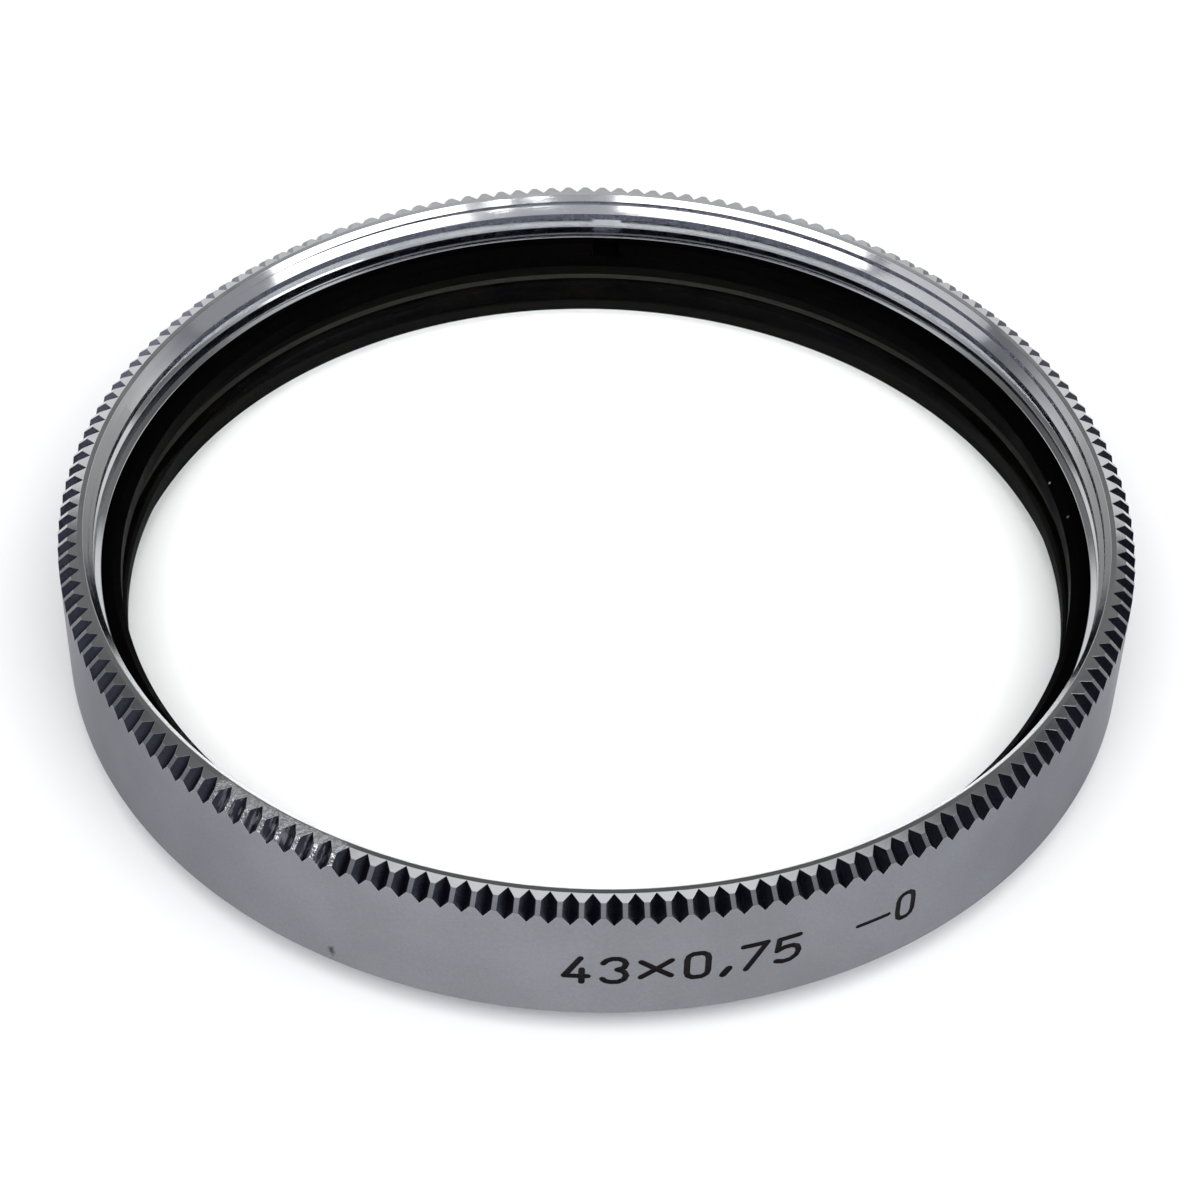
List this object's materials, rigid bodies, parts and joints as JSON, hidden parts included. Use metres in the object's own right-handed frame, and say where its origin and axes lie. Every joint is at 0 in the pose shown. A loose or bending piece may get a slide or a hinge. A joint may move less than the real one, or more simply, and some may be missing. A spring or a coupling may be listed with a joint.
{
  "type": "uv filter",
  "caption": "Round clear UV filter: a glass disc held by a black retaining ring in a thin satin-chromed mount with a knurled front edge and screw threads front and rear",
  "frame": {"origin": "centre of the rear face, the end of the rear thread that the filter rests on", "axes": "+Z is the optical axis towards the front (female) thread and +X is to the right with the wall's numerals facing -Y"},
  "size_m": [0.045, 0.045, 0.0072],
  "materials": {
    "mount_chrome": "satin chrome plating on turned brass, blackened inside below the front thread",
    "clear_glass": "clear polished glass",
    "black_ring": "matt black, fine turning marks"
  },
  "bodies": {
    "root": {"mount_ring": "mount_chrome", "filter_glass": "clear_glass", "retaining_ring": "black_ring"}
  },
  "joints": []
}
